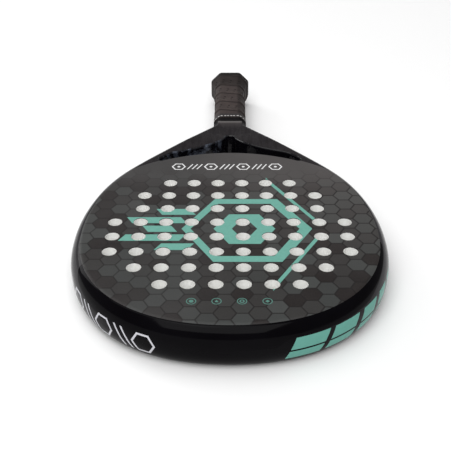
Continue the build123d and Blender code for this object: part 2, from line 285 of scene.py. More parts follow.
def triangulate_region(rings, lines=(), points=None, keep=None, eps=1e-5):
    """Constrained triangulation. rings: closed loops; keep(centroids) says which triangles stay."""
    V, E = [], []
    for r in rings:
        n0 = len(V)
        V += [tuple(p) for p in r]
        E += [(n0 + i, n0 + (i + 1) % len(r)) for i in range(len(r))]
    for r in lines:
        n0 = len(V)
        V += [tuple(p) for p in r]
        E += [(n0 + i, n0 + (i + 1) % len(r)) for i in range(len(r))]
    if points is not None:
        V += [tuple(p) for p in points]
    vo, eo, fo, _, _, _ = delaunay_2d_cdt([Vector((float(a), float(b))) for a, b in V], E, [], 0, eps)
    W = np.array([(v.x, v.y) for v in vo])
    F = np.array([f[:] for f in fo if len(f) == 3])
    C = W[F].mean(1)
    k = keep(C)
    F = F[k]
    a = W[F]
    area = (a[:, 1, 0] - a[:, 0, 0]) * (a[:, 2, 1] - a[:, 0, 1]) - (a[:, 2, 0] - a[:, 0, 0]) * (a[:, 1, 1] - a[:, 0, 1])
    F[area < 0] = F[area < 0][:, ::-1]
    F = F[np.abs(area) > 1e-9]
    used = np.unique(F)
    new = np.full(len(W), -1)
    new[used] = np.arange(len(used))
    return W[used], new[F]


def boundary_loops(F):
    """Directed boundary edges of a triangle set."""
    e = np.vstack([F[:, [0, 1]], F[:, [1, 2]], F[:, [2, 0]]])
    s = set(map(tuple, e.tolist()))
    return [(a, b) for a, b in s if (b, a) not in s]


def slab(W, F, zt, zb):
    """Closed solid between two heights over a triangulation: verts, faces, index of the lower copy."""
    n = len(W)
    V = np.vstack([np.c_[W, zt], np.c_[W, zb]])
    faces = [tuple(f) for f in F] + [(f[2] + n, f[1] + n, f[0] + n) for f in F]
    side = [(b, a, a + n, b + n) for a, b in boundary_loops(F)]
    return V, faces + side, len(F)


def ring_at(off_scale):
    """Outline ring moved in by a share of the rounded edge's width."""
    return OUT - N_OUT * (A_OUT * off_scale)[:, None]


def flip_under(ob, name):
    """Copy of a piece turned over about the handle axis, for the lower face."""
    me = ob.data.copy()
    me.name = name
    n = len(me.vertices)
    co = np.empty(n * 3)
    me.vertices.foreach_get("co", co)
    co = co.reshape(-1, 3)
    co[:, 0] *= -1
    co[:, 2] = 2 * MID * M - co[:, 2]
    me.vertices.foreach_set("co", co.ravel())
    me.update()
    o2 = bpy.data.objects.new(name, me)
    bpy.context.collection.objects.link(o2)
    return o2


def set_normals(ob, fn):
    """Custom split normals from a function of corner vertex positions (mm) and face normals."""
    me = ob.data
    nl = len(me.loops)
    vi = np.empty(nl, int)
    me.loops.foreach_get("vertex_index", vi)
    co = np.empty(len(me.vertices) * 3)
    me.vertices.foreach_get("co", co)
    co = co.reshape(-1, 3) / M
    fn_n = np.empty(len(me.polygons) * 3)
    me.polygons.foreach_get("normal", fn_n)
    fn_n = fn_n.reshape(-1, 3)
    lt = np.empty(len(me.polygons), int)
    me.polygons.foreach_get("loop_total", lt)
    face = np.repeat(np.arange(len(me.polygons)), lt)
    N = fn(co, vi, fn_n[face])
    me.normals_split_custom_set([tuple(v) for v in N])


# ---------------------------------------------------------------------------
# graphics on the face: generic shapes only.  Polygons in mm, CAD frame.
# ---------------------------------------------------------------------------
def hexagon(cx, cy, r):
    return [(cx + r * math.cos(math.radians(60 * i)), cy + r * math.sin(math.radians(60 * i))) for i in range(6)]


def bar(x0, x1, yc, h, lean):
    """Level bar with slanted ends."""
    k = lean * h / 2
    return [(x0 - k, yc - h / 2), (x1 - k, yc - h / 2), (x1 + k, yc + h / 2), (x0 + k, yc + h / 2)]


def strokes(points, w, closed=False):
    """Thin stroke along a polyline, as one polygon (open) or two (closed: outer and inner)."""
    P = np.array(points, float)
    n = len(P)
    outs, ins = [], []
    for i in range(n):
        if closed:
            a, b, c = P[i - 1], P[i], P[(i + 1) % n]
        else:
            a, b, c = P[max(i - 1, 0)], P[i], P[min(i + 1, n - 1)]
        t1 = (b - a) if np.linalg.norm(b - a) > 0 else (c - b)
        t2 = (c - b) if np.linalg.norm(c - b) > 0 else (b - a)
        t1, t2 = t1 / np.linalg.norm(t1), t2 / np.linalg.norm(t2)
        n1, n2 = np.array([t1[1], -t1[0]]), np.array([t2[1], -t2[0]])
        m = (n1 + n2)
        m /= max(1e-6, m @ n1)
        outs.append(b + m * w / 2)
        ins.append(b - m * w / 2)
    if closed:
        return [[tuple(p) for p in outs], [tuple(p) for p in ins]]
    return [[tuple(p) for p in outs] + [tuple(p) for p in ins[::-1]]]


EX, EY = 14.0, 131.0 + TIP          # centre of the emblem
TEAL = []                            # each entry: list of polygons, even-odd
TEAL.append([hexagon(EX, EY, 54.0), hexagon(EX - 1.5, EY, 45.0)])
TEAL.append([hexagon(EX - 2.0, EY, 25.5), hexagon(EX - 2.0, EY, 10.5)])
for yy, xa, xb in ((26.0, -60.0, -31.5), (13.0, -84.0, -38.5), (0.0, -70.0, -46.0), (-13.0, -88.0, -38.5), (-26.0, -58.0, -31.5)):
    TEAL.append([bar(xa, xb, EY + yy, 9.2, 0.577 if yy < 0 else -0.577)])
for sgn in (1, -1):
    h1, h2 = np.array(hexagon(EX, EY, 63.0)), np.array(hexagon(EX, EY, 66.8))
    i, j = (1, 2) if sgn > 0 else (5, 4)
    ext = 1.0
    a1, b1, a2, b2 = h1[0], h1[i], h2[0], h2[i]
    d = (b1 - a1) / np.linalg.norm(b1 - a1)
    TEAL.append([[tuple(a1 + d * 16), tuple(b1 + d * 26), tuple(b2 + d * 30), tuple(a2 + d * 12)]])

CIRCLES = []                         # small ringed icons
for i, cx in enumerate((-28.4, -9.8, 8.9, 27.6)):
    cy = 34.9 + TIP
    ring = [[(cx + r * math.cos(math.radians(t)), cy + r * math.sin(math.radians(t))) for t in range(0, 360, 10)] for r in (3.75, 3.1)]
    TEAL.append(ring)
    if i == 0:
        TEAL.append([hexagon(cx, cy, 1.9)])
    elif i == 1:
        TEAL.append([[(cx - 1.5, cy - 1.1), (cx + 1.5, cy - 1.1), (cx, cy + 1.7)]])
    elif i == 2:
        TEAL.append([hexagon(cx, cy, 2.1), hexagon(cx, cy, 1.1)])
    else:
        TEAL.append([[(cx - 1.7, cy), (cx, cy - 1.7), (cx + 1.7, cy), (cx, cy + 1.7)]])

# arms and neck, beyond the bridge's edge line carried out to the rim
ARMS = [(ARC_R * math.sin(t), ARC_C + ARC_R * math.cos(t)) for t in np.linspace(-0.80, 0.80, 81)]
ARMS = ARMS + [(112.0, 342.0 + TIP), (-112.0, 342.0 + TIP)]

WHITE = []                           # a row of hexagons and slashes
_yc, _w = 235.2 + TIP, 1.15
for i in range(7):
    cx = -47.3 + i * 14.9
    if i % 2 == 0:
        WHITE += [strokes(hexagon(cx, _yc, 5.9), _w, closed=True)]
        WHITE += [[hexagon(cx, _yc, 1.5)]]
    else:
        for o in (-4.4, 0.0, 4.4):
            WHITE += [strokes([(cx + o - 2.4, _yc - 4.6), (cx + o + 2.4, _yc + 4.6)], 1.1)]


# ---------------------------------------------------------------------------
# materials
# ---------------------------------------------------------------------------
class Nodes:
    """Short way to build node trees."""

    def __init__(self, name):
        self.mat = bpy.data.materials.new(name) if isinstance(name, str) else name
        self.mat.use_nodes = True
        self.t = self.mat.node_tree
        self.bsdf = self.t.nodes["Principled BSDF"]
        self.out = self.t.nodes["Material Output"]

    def n(self, kind, **kw):
        nd = self.t.nodes.new(kind)
        for k, v in kw.items():
            if k.startswith("i_"):
                nd.inputs[k[2:].replace("_", " ")].default_value = v
            else:
                setattr(nd, k, v)
        return nd

    def link(self, a, b):
        self.t.links.new(a, b)

    def _put(self, sock, v):
        if isinstance(v, (int, float)):
            sock.default_value = v
        elif isinstance(v, (tuple, list)):
            sock.default_value = v
        else:
            self.link(v, sock)

    def math(self, op, a, b=None, c=None, clamp=False):
        nd = self.t.nodes.new("ShaderNodeMath")
        nd.operation = op
        nd.use_clamp = clamp
        for i, v in enumerate((a, b, c)):
            if v is not None:
                self._put(nd.inputs[i], v)
        return nd.outputs[0]

    def vmath(self, op, a, b=None, c=None, out=0):
        nd = self.t.nodes.new("ShaderNodeVectorMath")
        nd.operation = op
        for i, v in enumerate((a, b, c)):
            if v is not None:
                self._put(nd.inputs[i], v)
        return nd.outputs[out]

    def mix(self, f, a, b):
        nd = self.t.nodes.new("ShaderNodeMix")
        nd.data_type = "RGBA"
        self._put(nd.inputs[0], f)
        self._put(nd.inputs[6], a)
        self._put(nd.inputs[7], b)
        return nd.outputs[2]

    def fmix(self, f, a, b):
        nd = self.t.nodes.new("ShaderNodeMix")
        nd.data_type = "FLOAT"
        self._put(nd.inputs[0], f)
        self._put(nd.inputs[2], a)
        self._put(nd.inputs[3], b)
        return nd.outputs[0]

    def ramp(self, f, stops, interp="LINEAR"):
        nd = self.t.nodes.new("ShaderNodeValToRGB")
        cr = nd.color_ramp
        cr.interpolation = interp
        cr.elements[1].position = stops[-1][0]
        cr.elements[0].position = stops[0][0]
        for place, _ in stops[1:-1]:
            cr.elements.new(place)
        for e, (_, c) in zip(cr.elements, stops):
            e.color = (c, c, c, 1) if isinstance(c, (int, float)) else c
        self._put(nd.inputs[0], f)
        return nd.outputs[0]

    def maprange(self, v, a, b, c=0.0, d=1.0, smooth=True):
        nd = self.t.nodes.new("ShaderNodeMapRange")
        nd.interpolation_type = "SMOOTHSTEP" if smooth else "LINEAR"
        self._put(nd.inputs[0], v)
        nd.inputs[1].default_value, nd.inputs[2].default_value = a, b
        nd.inputs[3].default_value, nd.inputs[4].default_value = c, d
        return nd.outputs[0]

    def pos(self):
        """Object coordinates in millimetres."""
        tc = self.t.nodes.new("ShaderNodeTexCoord")
        nd = self.t.nodes.new("ShaderNodeVectorMath")
        nd.operation = "SCALE"
        self.link(tc.outputs["Object"], nd.inputs[0])
        nd.inputs[3].default_value = 1000.0
        return nd.outputs[0]

    def noise(self, v, scale, detail=2.0, rough=0.5, out="Fac"):
        nd = self.t.nodes.new("ShaderNodeTexNoise")
        self.link(v, nd.inputs["Vector"])
        nd.inputs["Scale"].default_value = scale
        nd.inputs["Detail"].default_value = detail
        nd.inputs["Roughness"].default_value = rough
        return nd.outputs[out]

    def bump(self, h, dist, strength=1.0, prev=None):
        nd = self.t.nodes.new("ShaderNodeBump")
        nd.inputs["Strength"].default_value = strength
        nd.inputs["Distance"].default_value = dist
        self.link(h, nd.inputs["Height"])
        if prev is not None:
            self.link(prev, nd.inputs["Normal"])
        return nd.outputs[0]

    def set(self, **kw):
        names = {"base": "Base Color", "rough": "Roughness", "metal": "Metallic", "spec": "Specular IOR Level",
                 "coat": "Coat Weight", "coat_rough": "Coat Roughness", "normal": "Normal", "sheen": "Sheen Weight",
                 "ior": "IOR", "sheen_rough": "Sheen Roughness", "sss": "Subsurface Weight"}
        for k, v in kw.items():
            self._put(self.bsdf.inputs[names[k]], v)
        return self.mat


def srgb(r, g, b):
    f = lambda c: c / 12.92 if c <= 0.04045 else ((c + 0.055) / 1.055) ** 2.4
    return (f(r / 255), f(g / 255), f(b / 255), 1.0)


def sep(nt, v):
    nd = nt.t.nodes.new("ShaderNodeSeparateXYZ")
    nt.link(v, nd.inputs[0])
    return nd.outputs


HEX_S = 8.54               # side of a printed cell


def print_material():
    """Satin laminate printed with dark hexagons."""
    k = Nodes("face_print")
    p = k.pos()
    px, py, pz = sep(k, p)
    # cell grid: same-row spacing 3s along X, rows sqrt(3)s apart along Y
    W, H = 3 * HEX_S, math.sqrt(3) * HEX_S
    cx = k.math("ADD", px, 1000 * W + 16.53)
    cy = k.math("ADD", py, 1000 * H + 6.88)

    def cell(ox, oy):
        ax = k.math("SUBTRACT", k.math("MODULO", k.math("ADD", cx, ox), W), W / 2)
        ay = k.math("SUBTRACT", k.math("MODULO", k.math("ADD", cy, oy), H), H / 2)
        return ax, ay
    ax, ay = cell(0, 0)
    bx, by = cell(W / 2, H / 2)

    def hexdist(x, y):
        x, y = k.math("ABSOLUTE", x), k.math("ABSOLUTE", y)
        return k.math("MAXIMUM", y, k.math("ADD", k.math("MULTIPLY", x, 0.8660254), k.math("MULTIPLY", y, 0.5)))
    da, db = hexdist(ax, ay), hexdist(bx, by)
    pick = k.math("LESS_THAN", db, da)
    dist = k.math("MINIMUM", da, db)
    ex = k.fmix(pick, ax, bx)
    ey = k.fmix(pick, ay, by)
    ix = k.math("ROUND", k.math("DIVIDE", k.math("SUBTRACT", cx, ex), W / 2))
    iy = k.math("ROUND", k.math("DIVIDE", k.math("SUBTRACT", cy, ey), H / 2))
    comb = k.n("ShaderNodeCombineXYZ")
    k.link(ix, comb.inputs[0]); k.link(iy, comb.inputs[1]); comb.inputs[2].default_value = 3.0
    wn = k.n("ShaderNodeTexWhiteNoise", noise_dimensions="3D")
    k.link(comb.outputs[0], wn.inputs["Vector"])
    rnd = wn.outputs["Value"]
    rnd2 = sep(k, wn.outputs["Color"])[1]
    # half-width of a cell to its flat sides is H/2
    edge = k.maprange(dist, H / 2 - 0.80, H / 2 - 0.36, 0.0, 1.0)
    shade = k.ramp(rnd, [(0.0, srgb(23, 17, 16)), (0.22, srgb(29, 24, 23)), (0.27, srgb(40, 38, 37)), (0.5, srgb(46, 45, 44)),
                         (0.7, srgb(52, 54, 53)), (1.0, srgb(60, 62, 61))], "LINEAR")
    # contrast fades towards the throat and in broad patches
    fade_y = k.maprange(py, 240.0 + TIP, 186.0 + TIP, 0.0, 1.0)
    patch = k.maprange(k.noise(p, 0.012, 1.0), 0.35, 0.62, 0.72, 1.0)
    amt = k.math("MULTIPLY", fade_y, patch)
    base = k.mix(k.maprange(k.noise(p, 0.02, 3.0, 0.55), 0.3, 0.7, 0.0, 1.0), srgb(55, 54, 54), srgb(64, 62, 62))
    col = k.mix(k.math("MULTIPLY", amt, 0.97), base, shade)
    # painted sheen: lighter and warmer towards the throat and on the right side, standing in for the glossy print's
    # reflection of the light
    painted_sheen = k.maprange(py, 60.0 + TIP, 215.0 + TIP, 0.0, 1.0, smooth=False)
    col = k.mix(k.math("MULTIPLY", painted_sheen, k.maprange(px, -60.0, 70.0, 0.06, 0.36)), col, srgb(94, 89, 88))
    col = k.mix(k.math("MULTIPLY", k.math("MULTIPLY", edge, amt), 0.86), col, srgb(18, 14, 14))
    # fine fleck of the woven laminate under the print
    weave = k.noise(p, 0.9, 3.0, 0.6)
    col = k.mix(k.maprange(weave, 0.35, 0.75, 0.0, 0.07), col, srgb(78, 77, 77))
    rough = k.fmix(rnd2, 0.36, 0.43)
    rough = k.math("ADD", rough, k.maprange(k.noise(p, 0.05, 4.0, 0.65), 0.3, 0.7, -0.03, 0.04))
    bmp = k.bump(k.noise(p, 1.6, 3.0, 0.55), 0.00004, 0.6)
    bmp = k.bump(k.math("SUBTRACT", 1.0, edge), 0.00005, 0.5, bmp)
    return k.set(base=col, rough=rough, spec=0.22, normal=bmp)


def ink(name, col, dark):
    k = Nodes(name)
    p = k.pos()
    c = k.mix(k.maprange(k.noise(p, 0.35, 4.0, 0.6), 0.35, 0.7, 0.0, 0.55), col, dark)
    # the small icons near the tip are printed thinner
    c = k.mix(k.maprange(sep(k, p)[1], 44.0 + TIP, 46.0 + TIP, 0.45, 0.0), c, srgb(38, 50, 47))
    r = k.maprange(k.noise(p, 0.9, 3.0, 0.6), 0.3, 0.7, 0.34, 0.44)
    return k.set(base=c, rough=r, spec=0.22, normal=k.bump(k.noise(p, 1.8, 3.0), 0.00003, 0.5))


MAT_PRINT = print_material()
MAT_TEAL = ink("teal_ink", srgb(104, 161, 148), srgb(94, 151, 138))


def arm_material():
    """Darker gloss on arms and neck, with a faint drag along the arms."""
    k = Nodes("arm_lacquer")
    p = k.pos()
    px, py, pz = sep(k, p)
    comb = k.n("ShaderNodeCombineXYZ")
    k.link(k.math("MULTIPLY", k.math("ABSOLUTE", px), 0.35), comb.inputs[0])
    k.link(k.math("MULTIPLY", py, 0.06), comb.inputs[1])
    k.link(k.math("MULTIPLY", pz, 0.5), comb.inputs[2])
    drag = k.noise(comb.outputs[0], 1.0, 3.0, 0.6)
    c = k.mix(k.maprange(drag, 0.3, 0.7, 0.0, 1.0), srgb(25, 22, 24), srgb(36, 33, 35))
    c = k.mix(k.maprange(k.noise(p, 0.9, 3.0, 0.6), 0.4, 0.75, 0.0, 0.12), c, srgb(70, 68, 69))
    neck = k.maprange(py, 322.0 + TIP, 335.0 + TIP, 0.0, 1.0)
    c = k.mix(k.math("MULTIPLY", neck, 0.55), c, srgb(70, 65, 65))
    # painted highlight: a lighter band where the rounded lip at the neck's end would catch the light
    painted_lip_highlight = k.math("MULTIPLY", k.maprange(py, 331.0 + TIP, 334.5 + TIP, 0.0, 1.0), k.maprange(k.math("ABSOLUTE", px), 11.0, 15.0, 1.0, 0.2))
    c = k.mix(k.math("MULTIPLY", painted_lip_highlight, 0.7), c, srgb(100, 97, 96))
    r = k.maprange(k.noise(p, 0.05, 4.0, 0.6), 0.3, 0.7, 0.20, 0.28)
    r = k.fmix(k.maprange(py, 318.0 + TIP, 330.0 + TIP, 0.0, 1.0), r, 0.52)
    nb = k.bump(k.noise(p, 0.03, 3.0, 0.5), 0.0008, 0.12)
    nb = k.bump(k.noise(p, 1.6, 3.0, 0.55), 0.00003, 0.5, nb)
    return k.set(base=c, rough=r, spec=0.12, normal=nb)


MAT_ARM = arm_material()
MAT_WHITE = ink("white_ink", srgb(226, 226, 226), srgb(206, 206, 208))


def foam_material(name, a, b, cell=1.1):
    k = Nodes(name)
    p = k.pos()
    v = k.n("ShaderNodeTexVoronoi", feature="F1")
    k.link(p, v.inputs["Vector"])
    v.inputs["Scale"].default_value = cell
    pore = k.maprange(v.outputs["Distance"], 0.1, 0.55, 0.0, 1.0)
    c = k.mix(k.maprange(k.noise(p, 0.25, 4.0, 0.6), 0.3, 0.72, 0.0, 1.0), a, b)
    c = k.mix(k.math("MULTIPLY", k.math("SUBTRACT", 1.0, pore), 0.05), c, srgb(170, 170, 168))
    r = k.fmix(pore, 0.78, 0.62)
    nb = k.bump(pore, 0.00008, 0.22)
    nb = k.bump(k.noise(p, 2.6, 3.0, 0.6), 0.00006, 0.2, nb)
    return k.set(base=c, rough=r, spec=0.3, normal=nb)


MAT_EVA = foam_material("white_eva_foam", srgb(251, 251, 249), srgb(244, 244, 241))
MAT_FILL = foam_material("filler_foam", srgb(214, 208, 190), srgb(196, 190, 172), 0.7)


# ---------------------------------------------------------------------------
# frame shell: lacquered rim, throat walls and the recess that the faces lie in
# ---------------------------------------------------------------------------
TH_B = math.acos(1 - FACE_EDGE / RIM)
FE = FACE_EDGE / RIM


def rim_profile():
    up = np.linspace(TH_B, 0, 17)
    rows = [(1 - math.cos(t), FLAT + (19.0 - FLAT) * math.sin(t)) for t in up]
    low = [(a, -z) for a, z in rows[::-1]]
    return np.array(rows + low)


PROFILE = rim_profile()
_pl = np.stack([PROFILE[:, 0] * RIM, PROFILE[:, 1]], 1)
PROFILE_V = np.r_[0, np.cumsum(np.linalg.norm(np.diff(_pl, axis=0), axis=1))]

INNER_RING = OUT - N_OUT * 13.3
_br_c, _br_r = 251.0 + TIP - 206.0, 206.0
_in_head = (np.hypot(INNER_RING[:, 0], INNER_RING[:, 1] - _br_c) < _br_r - 0.2) & (OUT[:, 1] < 245 + TIP)
_hr = INNER_RING[_in_head]
_ha = math.atan2(_hr[-1, 1] - _br_c, _hr[-1, 0])
_arc = np.array([(_br_r * math.cos(t), _br_c + _br_r * math.sin(t)) for t in np.linspace(_ha, math.pi - _ha, 40)])[1:-1]
HEAD_RING = np.vstack([_hr, _arc])
HEAD_RING = HEAD_RING[::2]

RING_F = ring_at(FE)                 # edge of the printed face
THROAT_F, _ = throat_ring(EDGE_R)


def grid_points(x0, x1, y0, y1, step):
    xs, ys = np.arange(x0, x1, step), np.arange(y0, y1, step * 0.866)
    pts = []
    for j, yy in enumerate(ys):
        for xx in xs:
            pts.append((xx + (step / 2 if j % 2 else 0), yy))
    return np.array(pts)


def clear_of(P, rings, gap):
    """Points that keep a gap from closed rings."""
    ok = np.ones(len(P), bool)
    for r in rings:
        d, _, _ = nearest(P, np.vstack([r, r[:1]]))
        ok &= d > gap
    return P[ok]


def throat_material():
    """Deep black gloss of the throat's walls: wavy resin, with painted bluish reflections and painted glints along the
    left wall.
    """
    k = Nodes("throat_gloss")
    p = k.pos()
    px, py, pz = sep(k, p)
    cloud = k.maprange(k.noise(p, 0.05, 3.0, 0.6), 0.3, 0.75, 0.0, 1.0)
    c = k.mix(cloud, srgb(5, 4, 8), srgb(12, 11, 15))
    # painted reflections: bluish streaks higher up the left wall, standing in for reflected light
    left = k.maprange(px, -12.0, -2.0, 1.0, 0.0)
    high = k.maprange(pz, MID + 2.0, MID + 9.0, 0.25, 1.0)
    painted_reflection_noise = k.noise(p, 0.16, 4.0, 0.62)
    m = k.maprange(painted_reflection_noise, 0.46, 0.66, 0.0, 1.0)
    c = k.mix(k.math("MULTIPLY", k.math("MULTIPLY", m, left), high), c, srgb(70, 75, 86))
    # painted glints: small bright specks on the left wall
    g = k.maprange(k.noise(p, 0.30, 4.0, 0.7), 0.64, 0.70, 0.0, 1.0)
    c = k.mix(k.math("MULTIPLY", k.math("MULTIPLY", g, left), 0.6), c, srgb(150, 157, 172))
    r = k.maprange(k.noise(p, 0.12, 4.0, 0.6), 0.3, 0.7, 0.05, 0.14)
    nb = k.bump(k.noise(p, 0.16, 3.0, 0.55), 0.0010, 0.55)
    return k.set(base=c, rough=r, spec=0.30, normal=nb)


MAT_LACQUER_SLOT = bpy.data.materials.new("frame_lacquer")


def build_shell():
    V, F, UV = [], [], []

    def add(v, uv=None):
        V.append(tuple(v))
        UV.append(uv if uv is not None else (0.0, -1.0))
        return len(V) - 1
    ncol, nrow = len(OUT), len(PROFILE)
    D = drop(OUT[:, 1])
    idx = np.empty((ncol, nrow), int)
    for j in range(ncol):
        for i, (fr, z) in enumerate(PROFILE):
            p = OUT[j] - N_OUT[j] * A_OUT[j] * fr
            idx[j, i] = add((p[0], p[1], MID + z * D[j]), (S_OUT[j] / 1000 + 0.5, PROFILE_V[i] / 100))
    for j in range(ncol - 1):
        for i in range(nrow - 1):
            F.append((idx[j, i], idx[j, i + 1], idx[j + 1, i + 1], idx[j + 1, i]))
    # top and bottom covers under the faces
    keep = lambda C: inside(C, RING_F) & ~inside(C, HEAD_RING) & ~inside(C, THROAT_F)
    pts = grid_points(-85, 85, 225 + TIP, 336 + TIP, 6.0)
    pts = pts[inside(pts, RING_F) & ~inside(pts, HEAD_RING) & ~inside(pts, THROAT_F)]
    pts = clear_of(pts, [RING_F, HEAD_RING, THROAT_F], 2.0)
    W, T = triangulate_region([RING_F, HEAD_RING, THROAT_F], points=pts, keep=keep)
    Z = height(W) - SKIN
    n0 = len(V)
    for (x, y), z in zip(W, Z):
        add((x, y, MID + z))
    n1 = len(V)
    for (x, y), z in zip(W, Z):
        add((x, y, MID - z))
    for a, b, c in T:
        F.append((n0 + a, n0 + b, n0 + c))
        F.append((n1 + c, n1 + b, n1 + a))
    # inner wall of the head opening, steps under the face's edge
    def wall(ring, za, zb, closed=True):
        a = [add((x, y, z)) for (x, y), z in zip(ring, za)]
        b = [add((x, y, z)) for (x, y), z in zip(ring, zb)]
        n = len(ring)
        for i in range(n if closed else n - 1):
            j = (i + 1) % n
            F.append((a[i], b[i], b[j], a[j]))
    zh = height(HEAD_RING) - SKIN
    wall(HEAD_RING, MID + zh, MID - zh)
    zr = height(RING_F)
    zr_t = (FLAT + (19.0 - FLAT) * math.sin(TH_B)) * D
    wall(RING_F, MID + zr_t, MID + zr - SKIN, closed=False)
    wall(RING_F, MID - zr_t, MID - zr + SKIN, closed=False)
    # throat: rounded edge and wall
    zt = height(THROAT_F)
    wall(THROAT_F, MID + zt, MID + zt - SKIN)
    wall(THROAT_F, MID - zt, MID - zt + SKIN)
    rows = [(EDGE_R * (1 - math.sin(t)), EDGE_R * (1 - math.cos(t))) for t in np.linspace(0, math.pi / 2, 6)]
    offs, zs = [], []
    for o, dz in rows:
        offs.append(o); zs.append(zt - dz)
    for f in np.linspace(0.85, 0, 6):
        offs.append(0.0 - 0.5 * (1 - f) * f * 4 * 0.0); zs.append((zt - EDGE_R) * f)
    grid = []
    S_T = np.r_[0, np.cumsum(np.linalg.norm(np.diff(np.vstack([THROAT, THROAT[:1]]), axis=0), axis=1))]
    full = [(o, z) for o, z in zip(offs, zs)] + [(o, -z) for o, z in list(zip(offs, zs))[::-1][1:]]
    for o, z in full:
        R = THROAT + THROAT_N * o
        grid.append([add((x, y, MID + h)) for (x, y), h in zip(R, z)])
    n = len(THROAT)
    gloss_from = len(F)
    for r in range(len(grid) - 1):
        for i in range(n):
            j = (i + 1) % n
            F.append((grid[r][i], grid[r + 1][i], grid[r + 1][j], grid[r][j]))
    ob = new_object("frame_shell", V, F)
    ob.data.materials.append(MAT_LACQUER_SLOT)
    ob.data.materials.append(throat_material())
    slots = np.zeros(len(F), np.int32)
    slots[gloss_from:] = 1
    ob.data.polygons.foreach_set("material_index", slots)
    uv = ob.data.uv_layers.new(name="wrap")
    lv = np.empty(len(ob.data.loops), int)
    ob.data.loops.foreach_get("vertex_index", lv)
    UVa = np.array(UV, float)
    uv.data.foreach_set("uv", UVa[lv].ravel())
    bm = bmesh.new()
    bm.from_mesh(ob.data)
    bmesh.ops.remove_doubles(bm, verts=bm.verts, dist=3e-6)
    # close the neck's end
    rim = [e for e in bm.edges if e.is_boundary]
    if rim:
        bmesh.ops.holes_fill(bm, edges=rim, sides=0)
    bmesh.ops.recalc_face_normals(bm, faces=bm.faces)
    left = sum(1 for e in bm.edges if not e.is_manifold)
    print("frame_shell open or odd edges:", left, "of", len(bm.edges))
    bm.to_mesh(ob.data)
    bm.free()
    ob.data.update()
    return ob


def build_face():
    holes = [[(cx + HOLE_R * math.cos(t), cy + HOLE_R * math.sin(t)) for t in np.linspace(0, 2 * math.pi, 48, endpoint=False)] for cx, cy in HOLES]
    r2, r3, r4 = ring_at(0.84), ring_at(0.92), ring_at(1.0)
    pts = np.vstack([r2[:-3:1], r3[:-3:2], r4[:-3:2], ring_at(1.12)[:-3:3]])
    flat = grid_points(-125, 125, 5 + TIP, 262 + TIP, 8.0)
    arms = grid_points(-92, 92, 236 + TIP, 336.5 + TIP, 1.7)
    arms = arms[(np.hypot(arms[:, 0], arms[:, 1] - ARC_C) > ARC_R + 0.3) | (np.abs(arms[:, 0]) > 60)]
    # creases of the funnel in the neck
    creases = []
    for sign in (1, -1):
        near = [(sign * (4.0 + 7.0 * f - 0.12), 309.0 + 25.0 * f + TIP) for f in np.linspace(0.06, 1, 26)] + [(sign * 10.88, 336.4 + TIP)]
        away = [(sign * (4.0 + 7.0 * f + 0.30), 309.0 + 25.0 * f + TIP) for f in np.linspace(0.06, 1, 26)] + [(sign * 11.30, 336.4 + TIP)]
        creases.append(near + away[::-1])
    pts = np.vstack([pts, flat, arms])
    ok = inside(pts, RING_F) & ~inside(pts, THROAT_F)
    for h in holes:
        c = np.mean(h, 0)
        ok &= np.hypot(pts[:, 0] - c[0], pts[:, 1] - c[1]) > HOLE_R + 0.8
    pts = pts[ok]
    pts = clear_of(pts, [RING_F, THROAT_F], 0.7)
    pts = clear_of(pts, [np.array(c) for c in creases], 0.55)
    lines = [pl for grp in TEAL + WHITE for pl in grp] + [ARMS] + creases
    hc = np.array(HOLES)

    def keep(C):
        k = inside(C, RING_F) & ~inside(C, THROAT_F)
        for cx, cy in hc:
            k &= np.hypot(C[:, 0] - cx, C[:, 1] - cy) > HOLE_R * 0.985
        return k
    W, T = triangulate_region([RING_F, THROAT_F] + holes, lines, pts, keep)
    C = W[T].mean(1)
    mat = np.where(inside(C, ARMS), 3, 0)
    for groups, m in ((TEAL, 1), (WHITE, 2)):
        for grp in groups:
            s = np.zeros(len(C), bool)
            for pl in grp:
                s ^= inside(C, pl)
            mat[s] = m
    Z = height(W)
    V, faces, nt = slab(W, T, MID + Z, MID + Z - SKIN)
    fm = list(mat) + [0] * (len(faces) - len(mat))
    ob = new_object("face_laminate_upper", V, faces, (MAT_PRINT, MAT_TEAL, MAT_WHITE, MAT_ARM), fm, smooth=True)
    Nv = slope_normals(W)
    nW = len(W)

    def fn(co, vi, fnorm):
        N = fnorm.copy()
        top = (vi < nW) & (fnorm[:, 2] > 0.3)
        N[top] = Nv[vi[top]]
        return N
    print("face laminate:", len(T), "triangles on top;", "same order:", len(ob.data.vertices) == 2 * nW)
    set_normals(ob, fn)
    return ob


